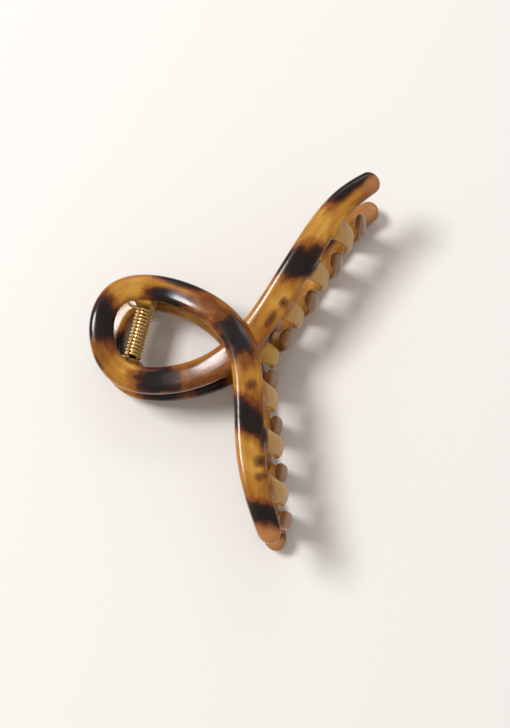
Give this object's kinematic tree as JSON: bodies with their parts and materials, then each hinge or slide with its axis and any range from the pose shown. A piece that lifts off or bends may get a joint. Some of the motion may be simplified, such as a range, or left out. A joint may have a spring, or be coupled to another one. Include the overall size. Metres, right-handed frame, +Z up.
{
  "type": "claw clip",
  "caption": "Hair claw clip whose two ribbon jaws each loop, cross over and sweep into two toothed arms, hinged on a pin inside a torsion spring.",
  "frame": {"origin": "on the resting surface, under the middle of the closed clip's box", "axes": "+X from the closed loops towards the teeth, +Y along the hinge pin and from one arm tip to the other, +Z up from the surface the clip lies on"},
  "size_m": [0.0712, 0.105, 0.0307],
  "materials": {
    "tortoiseshell_front": "polished translucent amber acetate with soft-edged near-black patches",
    "tortoiseshell_rear": "polished translucent amber acetate with soft-edged near-black patches",
    "gold_pin": "gold-plated, bright",
    "gold_spring": "gold-plated spring wire, bright"
  },
  "bodies": {
    "rear_jaw": {"rear_jaw": "tortoiseshell_rear", "hinge_pin": "gold_pin", "torsion_spring": "gold_spring"},
    "front_jaw": {"front_jaw": "tortoiseshell_front"}
  },
  "joints": [
    {"name": "jaw_hinge", "type": "hinge", "parent": "rear_jaw", "child": "front_jaw", "pos_m": [-0.02242, -0.00313, 0.01147], "axis": [0, -1, 0], "range_deg": [0, 55], "stiffness_Nm_per_rad": 0.08, "springref_deg": -51.57, "deforming": ["torsion_spring"]}
  ]
}
